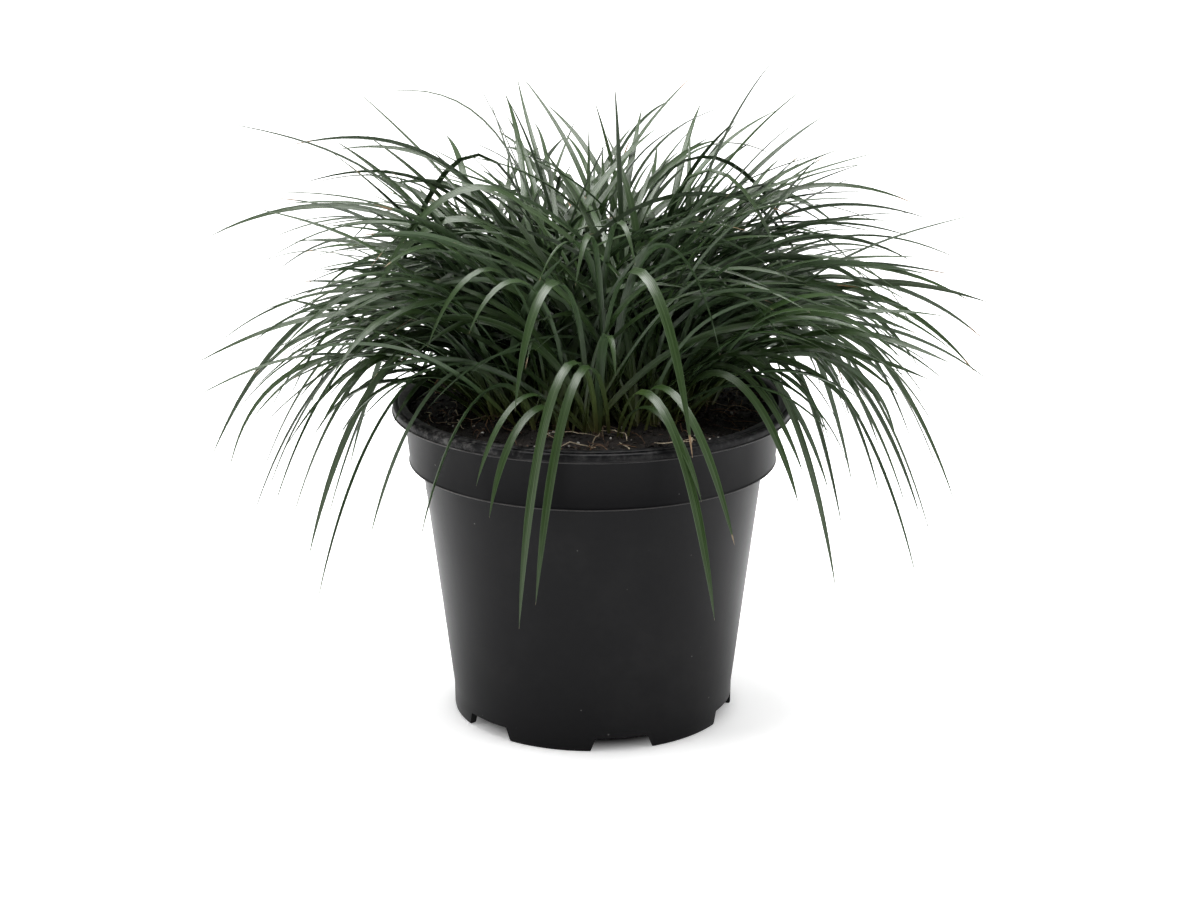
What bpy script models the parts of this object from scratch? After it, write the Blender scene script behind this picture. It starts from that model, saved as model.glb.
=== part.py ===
"""Potted ornamental grass clump: a nursery pot, its soil and nineteen tufts of arching strap leaves.

Metres, +Z up. The origin is the centre of the pot's foot, on the surface that the pot stands on.
"""
from collections import namedtuple
from math import cos, pi, radians, sin, tau

import bmesh
import bpy
from mathutils import Matrix, Vector

NAME = "potted_grass"
MERGE = 0.00001
GAP = 0.0003

# Pot: a thermoformed nursery pot with a rolled lip, a stacking collar and a notched foot.
POT_HEIGHT = 0.105
WALL = 0.0012
LIP_RADIUS = 0.065
LIP_DEPTH = 0.0033
LIP_INNER_RADIUS = 0.0605
LIP_ROUND = 0.0008
COLLAR_TOP_RADIUS = 0.0613
COLLAR_BOTTOM_RADIUS = 0.0597
COLLAR_BOTTOM = 0.085
BODY_TOP_RADIUS = 0.0558
BODY_BOTTOM_RADIUS = 0.0462
BODY_BOTTOM = 0.008
FOOT_RADIUS = 0.0456
FOOT_INNER_RADIUS = 0.0436
FOOT_ROUND = 0.0005
FLOOR_UNDERSIDE = 0.0052
FLOOR_TOP = 0.0064
POT_STEPS = 48

# Six notches in the foot ring let water out; the drain holes stand inside them.
NOTCHES = 6
FIRST_NOTCH = radians(-78)
NOTCH_HEIGHT = 0.0045
NOTCH_TOP_HALF_WIDTH = 0.0086
NOTCH_FOOT_HALF_WIDTH = 0.0110
DRAIN_RING_RADIUS = 0.032
DRAIN_RADIUS = 0.0035
DRAIN_SIDES = 12

# Soil: fills the pot to just below the lip and is slightly domed.
SOIL_TOP = 0.1040
SOIL_EDGE = 0.1010
SOIL_STEPS = 36
DOME_RADII = (0.0, 0.022, 0.044)

# Crowns: the stubs from which the leaves of a tuft fan out, set into the soil.
CROWN_DEPTH = 0.007
CROWN_RISE = 0.008
CROWN_TAPER = 0.8
CROWN_SIDES = 8

# Blades: arching leaves, flat above and keeled below.
BLADE_POINTS = 8
BLADE_HALF_WIDTH = 0.0024
BLADE_THICKNESS = 0.0016
BLADE_ROOT_SCALE = 0.7
BLADE_TIP_SCALE = 0.3
BLADE_WIDEST = 0.45
BEND_START = 1.15
ROOT_SPREAD = 0.0020
ROOT_STEP = 0.0003

Ring = namedtuple("Ring", "name tufts radius first_azimuth crown_radius blades")
Blade = namedtuple("Blade", "fan length rise bend")

RINGS = (
    Ring("heart", 1, 0.0, 0.0, 0.0045, (
        Blade(0, 0.127, 88, 44),
        Blade(72, 0.124, 84, 62),
        Blade(144, 0.122, 83, 78),
        Blade(216, 0.126, 85, 66),
        Blade(288, 0.120, 82, 84),
    )),
    Ring("inner", 6, 0.0145, 15.0, 0.0042, (
        Blade(-24, 0.142, 79, 96),
        Blade(-11, 0.150, 75, 112),
        Blade(0, 0.138, 80, 78),
        Blade(12, 0.148, 73, 120),
        Blade(25, 0.144, 78, 102),
    )),
    Ring("outer", 12, 0.031, 0.0, 0.0048, (
        Blade(-11, 0.112, 40, 122),
        Blade(-5.5, 0.124, 54, 126),
        Blade(0, 0.1145, 56, 106),
        Blade(5.5, 0.122, 46, 130),
        Blade(11, 0.104, 34, 118),
    )),
)


def clear_scene():
    for old in list(bpy.data.objects):
        bpy.data.objects.remove(old, do_unlink=True)


def new_collection(name):
    collection = bpy.data.collections.new(name)
    bpy.context.scene.collection.children.link(collection)
    return collection


def make_material(name, colour, roughness):
    material = bpy.data.materials.new(name)
    material.use_nodes = True
    shader = material.node_tree.nodes["Principled BSDF"]
    shader.inputs["Base Color"].default_value = (*colour, 1.0)
    shader.inputs["Roughness"].default_value = roughness
    shader.inputs["Metallic"].default_value = 0.0
    return material


def new_object(name, mesh, collection, material=None):
    obj = bpy.data.objects.new(name, mesh)
    collection.objects.link(obj)
    if material:
        mesh.materials.append(material)
    return obj


def mark_cutter(obj):
    obj.hide_render = True
    obj.display_type = "WIRE"
    return obj


def cut(target, cutter):
    boolean = target.modifiers.new("cut " + cutter.name, "BOOLEAN")
    boolean.operation = "DIFFERENCE"
    boolean.object = cutter


def join(target, addition):
    boolean = target.modifiers.new("join " + addition.name, "BOOLEAN")
    boolean.operation = "UNION"
    boolean.object = addition


def turned_object(name, profile, steps, collection, material):
    """Turn an open profile of (radius, height) points about the Z axis into a closed solid."""
    mesh = bpy.data.meshes.new(name)
    points = [(radius, 0.0, height) for radius, height in profile]
    edges = [(i, i + 1) for i in range(len(points) - 1)]
    mesh.from_pydata(points, edges, [])
    obj = new_object(name, mesh, collection, material)
    screw = obj.modifiers.new("turn", "SCREW")
    screw.steps = steps
    screw.render_steps = steps
    screw.use_merge_vertices = True
    screw.merge_threshold = MERGE
    return obj


def cone_mesh(name, sides, bottom_radius, top_radius, bottom, top):
    """A closed frustum about the Z axis between two heights."""
    mesh = bpy.data.meshes.new(name)
    bm = bmesh.new()
    bmesh.ops.create_cone(
        bm, cap_ends=True, segments=sides, radius1=bottom_radius, radius2=top_radius,
        depth=top - bottom, matrix=Matrix.Translation((0, 0, (top + bottom) / 2)),
    )
    bm.to_mesh(mesh)
    bm.free()
    return mesh


def wall_radius(height):
    """Outer radius of the pot's tapering body at a height."""
    share = (height - BODY_BOTTOM) / (COLLAR_BOTTOM - BODY_BOTTOM)
    return BODY_BOTTOM_RADIUS + share * (BODY_TOP_RADIUS - BODY_BOTTOM_RADIUS)


def collar_radius(height):
    """Outer radius of the pot's collar at a height."""
    lip_bottom = POT_HEIGHT - LIP_DEPTH
    share = (height - COLLAR_BOTTOM) / (lip_bottom - COLLAR_BOTTOM)
    return COLLAR_BOTTOM_RADIUS + share * (COLLAR_TOP_RADIUS - COLLAR_BOTTOM_RADIUS)


def pot_outside():
    """Outer profile, from the lip down to the axis under the floor."""
    lip_bottom = POT_HEIGHT - LIP_DEPTH
    return [
        (LIP_RADIUS - LIP_ROUND, POT_HEIGHT),
        (LIP_RADIUS, POT_HEIGHT - LIP_ROUND),
        (LIP_RADIUS, lip_bottom + LIP_ROUND / 2),
        (LIP_RADIUS - LIP_ROUND / 2, lip_bottom),
        (COLLAR_TOP_RADIUS, lip_bottom),
        (COLLAR_BOTTOM_RADIUS, COLLAR_BOTTOM),
        (BODY_TOP_RADIUS, COLLAR_BOTTOM),
        (BODY_BOTTOM_RADIUS, BODY_BOTTOM),
        (FOOT_RADIUS + FOOT_ROUND, FOOT_ROUND),
        (FOOT_RADIUS, 0.0),
        (FOOT_INNER_RADIUS, 0.0),
        (FOOT_INNER_RADIUS, FLOOR_UNDERSIDE),
        (0.0, FLOOR_UNDERSIDE),
    ]


def pot_inside(gap, floor, shoulder):
    """Inner profile from the floor's edge up to the collar, drawn in by a gap."""
    return [
        (wall_radius(floor) - WALL - 2 * FOOT_ROUND - gap, floor),
        (wall_radius(floor + 2 * FOOT_ROUND) - WALL - gap, floor + 2 * FOOT_ROUND),
        (wall_radius(shoulder) - WALL - gap, shoulder),
        (collar_radius(shoulder) - WALL - gap, shoulder),
    ]


def make_pot(collection, cutters, material):
    inside = pot_inside(0.0, FLOOR_TOP, COLLAR_BOTTOM + WALL)
    lip_inside = [(LIP_INNER_RADIUS, POT_HEIGHT - LIP_ROUND), (LIP_INNER_RADIUS + LIP_ROUND / 2, POT_HEIGHT)]
    profile = [(0.0, FLOOR_TOP)] + inside + lip_inside + pot_outside()
    pot = turned_object("pot", profile, POT_STEPS, collection, material)
    for number in range(NOTCHES):
        azimuth = FIRST_NOTCH + number * tau / NOTCHES
        cut(pot, notch_cutter(number, azimuth, cutters))
        cut(pot, drain_cutter(number, azimuth, DRAIN_RING_RADIUS, cutters))
    cut(pot, drain_cutter(NOTCHES, 0.0, 0.0, cutters))
    return pot


def notch_cutter(number, azimuth, cutters):
    """A block across the foot ring, narrower at its top."""
    below = 0.002
    half_depth = 0.004
    mesh = bpy.data.meshes.new(f"notch_{number}")
    bm = bmesh.new()
    bmesh.ops.create_cube(bm, size=1.0)
    for vert in bm.verts:
        top = vert.co.z > 0
        width = NOTCH_TOP_HALF_WIDTH if top else NOTCH_FOOT_HALF_WIDTH
        vert.co.x = FOOT_RADIUS + 2 * half_depth * vert.co.x
        vert.co.y = 2 * width * vert.co.y
        vert.co.z = NOTCH_HEIGHT if top else -below
    bm.to_mesh(mesh)
    bm.free()
    cutter = mark_cutter(new_object(f"notch_{number}", mesh, cutters))
    cutter.rotation_euler.z = azimuth
    return cutter


def drain_cutter(number, azimuth, radius, cutters):
    """A cylinder through the pot's floor."""
    margin = 0.001
    mesh = cone_mesh(
        f"drain_{number}", DRAIN_SIDES, DRAIN_RADIUS, DRAIN_RADIUS,
        FLOOR_UNDERSIDE - margin, FLOOR_TOP + margin,
    )
    cutter = mark_cutter(new_object(f"drain_{number}", mesh, cutters))
    cutter.location = (radius * cos(azimuth), radius * sin(azimuth), 0.0)
    return cutter


def soil_height(radius):
    """Height of the domed soil surface."""
    share = min(1.0, radius / LIP_INNER_RADIUS)
    return SOIL_TOP - (SOIL_TOP - SOIL_EDGE) * share ** 2


def make_soil(collection, material):
    inside = pot_inside(GAP, FLOOR_TOP + GAP, COLLAR_BOTTOM + WALL + GAP)
    edge = (collar_radius(SOIL_EDGE) - WALL - GAP, SOIL_EDGE)
    dome = [(radius, soil_height(radius)) for radius in DOME_RADII]
    profile = dome + [edge] + inside[::-1] + [(0.0, FLOOR_TOP + GAP)]
    return turned_object("soil", profile, SOIL_STEPS, collection, material)


def blade_section(cutters):
    """Cross-section of a blade: a flat top and a keel, drawn once and swept along each blade."""
    curve = bpy.data.curves.new("blade_section", "CURVE")
    curve.dimensions = "2D"
    spline = curve.splines.new("POLY")
    spline.points.add(2)
    keel = BLADE_THICKNESS * 2 / 3
    crest = BLADE_THICKNESS / 3
    corners = ((-BLADE_HALF_WIDTH, crest), (BLADE_HALF_WIDTH, crest), (0.0, -keel))
    for point, (across, up) in zip(spline.points, corners):
        point.co = (across, up, 0.0, 1.0)
    spline.use_cyclic_u = True
    section = bpy.data.objects.new("blade_section", curve)
    cutters.objects.link(section)
    return mark_cutter(section)


def blade_points(root, heading, blade):
    """Centreline of a leaf that leaves its crown at an angle and bends over under its own weight."""
    steps = 40
    points = []
    place = Vector(root)
    for step in range(steps + 1):
        share = step / steps
        if step % (steps // (BLADE_POINTS - 1)) == 0 and len(points) < BLADE_POINTS - 1:
            points.append((place.copy(), share))
        slope = radians(blade.rise - blade.bend * share ** BEND_START)
        outward = Vector((cos(heading) * cos(slope), sin(heading) * cos(slope), sin(slope)))
        if step < steps:
            place = place + outward * (blade.length / steps)
    points.append((place, 1.0))
    return points


def blade_scale(share):
    """Width of a leaf along its length, as a share of the widest."""
    if share < BLADE_WIDEST:
        return BLADE_ROOT_SCALE + (1 - BLADE_ROOT_SCALE) * sin(share / BLADE_WIDEST * pi / 2)
    fall = (share - BLADE_WIDEST) / (1 - BLADE_WIDEST)
    return BLADE_TIP_SCALE + (1 - BLADE_TIP_SCALE) * cos(fall * pi / 2)


def make_blade(name, root, heading, blade, section, cutters):
    """Sweep the section along the centreline and return it as a closed mesh object."""
    curve = bpy.data.curves.new(name, "CURVE")
    curve.dimensions = "3D"
    curve.twist_mode = "Z_UP"
    curve.bevel_mode = "OBJECT"
    curve.bevel_object = section
    curve.use_fill_caps = True
    centreline = blade_points(root, heading, blade)
    spline = curve.splines.new("POLY")
    spline.points.add(len(centreline) - 1)
    for point, (place, share) in zip(spline.points, centreline):
        point.co = (*place, 1.0)
        point.radius = blade_scale(share)
    path = bpy.data.objects.new(name + "_path", curve)
    cutters.objects.link(path)
    depsgraph = bpy.context.evaluated_depsgraph_get()
    mesh = bpy.data.meshes.new_from_object(path.evaluated_get(depsgraph))
    bm = bmesh.new()
    bm.from_mesh(mesh)
    bmesh.ops.remove_doubles(bm, verts=bm.verts, dist=MERGE)
    bmesh.ops.recalc_face_normals(bm, faces=bm.faces)
    bm.to_mesh(mesh)
    bm.free()
    solid = mark_cutter(new_object(name, mesh, cutters))
    solid.matrix_world = path.matrix_world
    bpy.data.objects.remove(path, do_unlink=True)
    return solid


def crown_heights(ring):
    ground = soil_height(ring.radius)
    return ground - CROWN_DEPTH, ground + CROWN_RISE


def make_tuft(name, ring, azimuth, soil, section, collection, cutters, material):
    """A crown set into the soil with its leaves joined to it."""
    bottom, top = crown_heights(ring)
    centre = Vector((ring.radius * cos(azimuth), ring.radius * sin(azimuth), 0.0))
    mesh = cone_mesh(name, CROWN_SIDES, ring.crown_radius, ring.crown_radius * CROWN_TAPER, bottom, top)
    tuft = new_object(name, mesh, collection, material)
    tuft.location = centre
    for number, blade in enumerate(ring.blades):
        heading = azimuth + radians(blade.fan)
        sunk = ring.crown_radius + number * ROOT_STEP
        root = centre + Vector((ROOT_SPREAD * cos(heading), ROOT_SPREAD * sin(heading), top - sunk))
        join(tuft, make_blade(f"{name}_blade_{number}", root, heading, blade, section, cutters))
    pocket_name = name + "_pocket"
    pocket_radius = ring.crown_radius + GAP
    pocket_mesh = cone_mesh(pocket_name, CROWN_SIDES, pocket_radius, pocket_radius, bottom - GAP, top)
    pocket = mark_cutter(new_object(pocket_name, pocket_mesh, cutters))
    pocket.location = centre
    cut(soil, pocket)
    return tuft


def main():
    clear_scene()
    collection = new_collection(NAME)
    cutters = new_collection(NAME + "_cutters")
    pot_material = make_material("black_plastic", (0.014, 0.014, 0.016), 0.42)
    soil_material = make_material("potting_soil", (0.020, 0.013, 0.009), 0.95)
    leaf_material = make_material("grass_leaf", (0.050, 0.085, 0.030), 0.45)
    make_pot(collection, cutters, pot_material)
    soil = make_soil(collection, soil_material)
    section = blade_section(cutters)
    for ring in RINGS:
        for number in range(ring.tufts):
            azimuth = radians(ring.first_azimuth) + number * tau / ring.tufts
            name = f"tuft_{ring.name}_{number + 1:02d}"
            make_tuft(name, ring, azimuth, soil, section, collection, cutters, leaf_material)


main()
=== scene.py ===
"""Looks of a potted ornamental grass clump: satin black pot, peat soil and about a thousand leaves.

Laid out as a Blender add-on and run as a script. Metres, +Z up, origin under the pot's foot.
"""
from collections import namedtuple
from math import cos, pi, radians, sin, tau

import bmesh
import bpy
import numpy as np
from mathutils import Matrix, Vector, noise


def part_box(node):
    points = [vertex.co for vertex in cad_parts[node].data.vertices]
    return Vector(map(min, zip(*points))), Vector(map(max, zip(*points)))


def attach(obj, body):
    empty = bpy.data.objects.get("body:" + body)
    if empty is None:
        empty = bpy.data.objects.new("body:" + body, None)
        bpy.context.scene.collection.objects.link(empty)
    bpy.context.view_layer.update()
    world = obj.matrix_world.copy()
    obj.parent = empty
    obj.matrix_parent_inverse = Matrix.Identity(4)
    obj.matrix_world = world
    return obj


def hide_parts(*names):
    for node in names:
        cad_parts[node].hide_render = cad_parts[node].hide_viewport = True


bl_info = {
    "name": "Potted Grass Clump",
    "version": (1, 0, 0),
    "blender": (4, 5, 0),
    "location": "3D View > Sidebar > Potted Grass",
    "description": "Builds the leaves, soil and pot of an ornamental grass clump around its frame",
    "category": "Add Mesh",
}

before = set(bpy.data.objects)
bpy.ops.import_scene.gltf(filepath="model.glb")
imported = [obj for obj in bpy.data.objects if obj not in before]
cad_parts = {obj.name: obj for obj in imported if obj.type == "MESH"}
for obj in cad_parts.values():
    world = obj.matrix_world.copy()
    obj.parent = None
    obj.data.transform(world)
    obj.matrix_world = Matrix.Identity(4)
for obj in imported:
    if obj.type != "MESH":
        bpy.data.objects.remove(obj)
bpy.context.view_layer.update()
_, POT_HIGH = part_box("pot")
_, SOIL_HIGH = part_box("soil")
LIP_RADIUS = POT_HIGH.x
POT_HEIGHT = POT_HIGH.z
SOIL_TOP = SOIL_HIGH.z
MM = 0.001
TUFTS = sorted(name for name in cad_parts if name.startswith("tuft_"))


# ---------------------------------------------------------------- settings

class PotSettings(bpy.types.PropertyGroup):
    plastic: bpy.props.FloatVectorProperty(
        name="Plastic", description="Colour of the pot's plastic", subtype="COLOR",
        size=3, min=0, max=1, default=(0.0036, 0.0036, 0.0042))
    # Also the colour of the painted edge highlights and of the painted light on the pot's left.
    dust_and_highlight: bpy.props.FloatVectorProperty(
        name="Dust", description="Colour of dust and scuffs on the pot", subtype="COLOR",
        size=3, min=0, max=1, default=(0.16, 0.155, 0.15))
    segments: bpy.props.IntProperty(
        name="Segments", description="Faces around the pot", min=24, max=360, default=192)


class SoilSettings(bpy.types.PropertyGroup):
    crumbs: bpy.props.IntProperty(
        name="Crumbs", description="Loose crumbs of peat on the soil", min=0, default=1900)
    chips: bpy.props.IntProperty(
        name="Bark chips", description="Chips of bark on the soil", min=0, default=260)
    roots: bpy.props.IntProperty(
        name="Root threads", description="Pale root threads on the soil", min=0, default=46)
    peat: bpy.props.FloatVectorProperty(
        name="Peat", description="Colour of damp peat", subtype="COLOR",
        size=3, min=0, max=1, default=(0.0050, 0.0038, 0.0031))


class LeafSettings(bpy.types.PropertyGroup):
    leaves: bpy.props.IntProperty(
        name="Leaves a tuft", description="Leaves that grow from each crown", min=1, default=48)
    width: bpy.props.FloatProperty(
        name="Width", description="Width of an average leaf", unit="LENGTH", default=2.05 * MM)
    length: bpy.props.FloatProperty(
        name="Length", description="Length of an average leaf", unit="LENGTH", default=113 * MM)
    length_spread: bpy.props.FloatProperty(
        name="Length spread", description="Share by which lengths vary", default=0.16)
    rim_length: bpy.props.FloatProperty(
        name="Rim length", description="Share by which the outer tufts' leaves are longer", default=-0.20)
    long_share: bpy.props.FloatProperty(
        name="Long leaves", description="Share of leaves that grow long and hang far out", default=0.0)
    hanging: bpy.props.IntProperty(
        name="Hanging leaves", description="Long leaves that hang over the rim at the sides and back",
        min=0, default=34)
    shoots: bpy.props.IntProperty(
        name="Shoots a tuft", description="Flat fans of leaves that make up a tuft", min=1, default=6)
    splay: bpy.props.FloatProperty(
        name="Splay", description="How far the outer tufts' shoots lean away from the heart",
        subtype="ANGLE", default=radians(7))
    fan: bpy.props.FloatProperty(
        name="Fan", description="How far a shoot's oldest leaves lean to its two sides",
        subtype="ANGLE", default=radians(50))
    bend: bpy.props.FloatProperty(
        name="Bend", description="How far an average leaf arches over", subtype="ANGLE", default=radians(85))
    bend_spread: bpy.props.FloatProperty(
        name="Bend spread", description="How much the bend varies", subtype="ANGLE", default=radians(24))
    weight: bpy.props.FloatProperty(
        name="Weight", description="How much further a leaf of twice the length arches",
        subtype="ANGLE", default=radians(10))
    green: bpy.props.FloatVectorProperty(
        name="Green", description="Deep green of a leaf's upper side", subtype="COLOR",
        size=3, min=0, max=1, default=(0.0105, 0.030, 0.0020))
    blue_green: bpy.props.FloatVectorProperty(
        name="Blue green", description="Cooler green of some leaves", subtype="COLOR",
        size=3, min=0, max=1, default=(0.0140, 0.032, 0.0052))


class StageSettings(bpy.types.PropertyGroup):
    distance: bpy.props.FloatProperty(
        name="Camera distance", description="From the camera to the point it looks at",
        unit="LENGTH", default=0.895)
    elevation: bpy.props.FloatProperty(
        name="Camera elevation", description="Angle of the camera above level",
        subtype="ANGLE", default=radians(16.4))
    lens: bpy.props.FloatProperty(
        name="Lens", description="Focal length on a 36 mm wide sensor, in mm", default=82.1)


# ---------------------------------------------------------------- shared helpers

def deselect_all():
    if bpy.context.mode != "OBJECT":
        bpy.ops.object.mode_set(mode="OBJECT")
    bpy.ops.object.select_all(action="DESELECT")


def take_active(name):
    obj = bpy.context.active_object
    obj.name = name
    obj.data.name = name
    return obj


def activate(obj):
    deselect_all()
    obj.select_set(True)
    bpy.context.view_layer.objects.active = obj


def apply_modifiers(obj):
    activate(obj)
    for modifier in list(obj.modifiers):
        bpy.ops.object.modifier_apply(modifier=modifier.name)


def freeze_place(obj):
    """Put the object's place, turn and scale into its mesh."""
    activate(obj)
    bpy.ops.object.transform_apply(location=True, rotation=True, scale=True)


def get_points(mesh):
    points = np.empty(len(mesh.vertices) * 3)
    mesh.vertices.foreach_get("co", points)
    return points.reshape(-1, 3)


def set_points(mesh, points):
    mesh.vertices.foreach_set("co", np.ascontiguousarray(points, dtype=np.float32).ravel())
    mesh.update()


def set_attribute(mesh, name, values):
    layer = mesh.attributes.new(name, "FLOAT", "POINT")
    layer.data.foreach_set("value", np.ascontiguousarray(values, dtype=np.float32))


def set_uv(mesh, name, coordinates):
    layer = mesh.uv_layers.new(name=name)
    layer.uv.foreach_set("vector", np.ascontiguousarray(coordinates, dtype=np.float32).ravel())


def array_of(obj, count):
    """Turn a template into a joined mesh that holds it count times, one copy after another."""
    array = obj.modifiers.new("copies", "ARRAY")
    array.count = count
    array.use_relative_offset = False
    array.use_constant_offset = False
    array.use_merge_vertices = False
    apply_modifiers(obj)


def place_copies(obj, template_points, turns, scales, places):
    """Turn, scale and move each copy in a joined mesh."""
    shaped = template_points[None, :, :] * scales[:, None, :]
    shaped = np.einsum("nij,nkj->nki", turns, shaped) + places[:, None, :]
    set_points(obj.data, shaped.reshape(-1, 3))


def random_turns(rng, count):
    """Evenly spread random rotations, as matrices."""
    quaternions = rng.normal(size=(count, 4))
    quaternions /= np.linalg.norm(quaternions, axis=1)[:, None]
    w, x, y, z = quaternions.T
    rows = (
        (1 - 2 * (y * y + z * z), 2 * (x * y - z * w), 2 * (x * z + y * w)),
        (2 * (x * y + z * w), 1 - 2 * (x * x + z * z), 2 * (y * z - x * w)),
        (2 * (x * z - y * w), 2 * (y * z + x * w), 1 - 2 * (x * x + y * y)),
    )
    return np.stack([np.stack(row, axis=1) for row in rows], axis=1)


def finish_piece(obj, node, smooth=60):
    """Shade a piece, fix it to the plant and hide the CAD parts it stands in for."""
    freeze_place(obj)
    bpy.ops.object.shade_smooth_by_angle(angle=radians(smooth))
    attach(obj, "root")
    if node:
        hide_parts(*([node] if isinstance(node, str) else node))
    return obj


# ---------------------------------------------------------------- shader parts

def new_material(name):
    material = bpy.data.materials.new(name)
    material.use_nodes = True
    tree = material.node_tree
    return material, tree, tree.nodes["Principled BSDF"]


def add_node(tree, kind, **values):
    node = tree.nodes.new(kind)
    for key, value in values.items():
        setattr(node, key, value)
    return node


def put(tree, socket, value):
    """Set a socket to a constant, or link it to another socket."""
    if isinstance(value, bpy.types.NodeSocket):
        tree.links.new(value, socket)
    elif isinstance(value, (tuple, list)) and len(value) == 3 and socket.type == "RGBA":
        socket.default_value = (*value, 1.0)
    else:
        socket.default_value = value


def calc(tree, operation, a, b=0.0, c=0.0, clamp=False):
    """One step of arithmetic on sockets or constants."""
    node = add_node(tree, "ShaderNodeMath", operation=operation, use_clamp=clamp)
    for socket, value in zip(node.inputs, (a, b, c)):
        put(tree, socket, value)
    return node.outputs[0]


def ramp(tree, value, low, high):
    """0 below low, 1 above high, smooth between."""
    node = add_node(tree, "ShaderNodeMapRange", interpolation_type="SMOOTHSTEP")
    put(tree, node.inputs["Value"], value)
    node.inputs["From Min"].default_value = low
    node.inputs["From Max"].default_value = high
    return node.outputs["Result"]


def mix(tree, factor, a, b):
    """Colour a where the factor is 0, colour b where it is 1."""
    node = add_node(tree, "ShaderNodeMix", data_type="RGBA")
    put(tree, node.inputs[0], factor)
    put(tree, node.inputs[6], a)
    put(tree, node.inputs[7], b)
    return node.outputs[2]


def noise_value(tree, vector, scale, detail, roughness):
    node = add_node(tree, "ShaderNodeTexNoise")
    put(tree, node.inputs["Vector"], vector)
    put(tree, node.inputs["Scale"], scale)
    node.inputs["Detail"].default_value = detail
    node.inputs["Roughness"].default_value = roughness
    return node.outputs["Fac"]


def object_place(tree):
    """Place on the piece, in metres."""
    return add_node(tree, "ShaderNodeTexCoord").outputs["Object"]


def bump(tree, height, strength, distance):
    node = add_node(tree, "ShaderNodeBump")
    put(tree, node.inputs["Strength"], strength)
    put(tree, node.inputs["Distance"], distance)
    put(tree, node.inputs["Height"], height)
    return node.outputs["Normal"]


def grain_group():
    """Fine grain that tints, roughens and lifts a surface, shared by the pot, the soil and its crumbs."""
    if "fine_grain" in bpy.data.node_groups:
        return bpy.data.node_groups["fine_grain"]
    group = bpy.data.node_groups.new("fine_grain", "ShaderNodeTree")
    colour, value, vector = "NodeSocketColor", "NodeSocketFloat", "NodeSocketVector"
    inputs = (
        ("Color", colour, (0.5, 0.5, 0.5, 1.0)),
        ("Grain Color", colour, (0.0, 0.0, 0.0, 1.0)),
        ("Grain Share", value, 0.5),
        ("Scale", value, 700.0),
        ("Roughness", value, 0.6),
        ("Roughness Spread", value, 0.3),
        ("Relief", value, 0.5),
        ("Relief Height", value, 0.3 * MM),
    )
    for name, kind, usual in inputs:
        socket = group.interface.new_socket(name=name, in_out="INPUT", socket_type=kind)
        socket.default_value = usual
    for name, kind in (("Color", colour), ("Roughness", value), ("Normal", vector)):
        group.interface.new_socket(name=name, in_out="OUTPUT", socket_type=kind)
    given = add_node(group, "NodeGroupInput").outputs
    results = add_node(group, "NodeGroupOutput").inputs
    grain = noise_value(group, object_place(group), given["Scale"], 4.0, 0.65)
    share = calc(group, "MULTIPLY", ramp(group, grain, 0.35, 0.72), given["Grain Share"])
    put(group, results["Color"], mix(group, share, given["Color"], given["Grain Color"]))
    roughness = calc(group, "MULTIPLY_ADD", grain, given["Roughness Spread"], given["Roughness"])
    put(group, results["Roughness"], roughness)
    put(group, results["Normal"], bump(group, grain, given["Relief"], given["Relief Height"]))
    return group


def add_grain(tree, shader, **values):
    """Give a material the shared grain, each input by its name, and feed it to the shader."""
    node = add_node(tree, "ShaderNodeGroup", node_tree=grain_group())
    for name, value in values.items():
        put(tree, node.inputs[name.replace("_", " ").title()], value)
    put(tree, shader.inputs["Base Color"], node.outputs["Color"])
    put(tree, shader.inputs["Roughness"], node.outputs["Roughness"])
    put(tree, shader.inputs["Normal"], node.outputs["Normal"])


def blade_uv(tree):
    """Across (0 to 1), underside (0 or 1) and along (0 to 1) a leaf, from its own map."""
    uv = add_node(tree, "ShaderNodeUVMap", uv_map="blade")
    split = add_node(tree, "ShaderNodeSeparateXYZ")
    tree.links.new(uv.outputs["UV"], split.inputs[0])
    across = calc(tree, "FRACT", split.outputs[0])
    under = calc(tree, "GREATER_THAN", split.outputs[0], 1.0)
    return across, under, split.outputs[1]


def attribute_value(tree, name):
    node = add_node(tree, "ShaderNodeAttribute", attribute_name=name)
    return node.outputs["Fac"]


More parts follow.
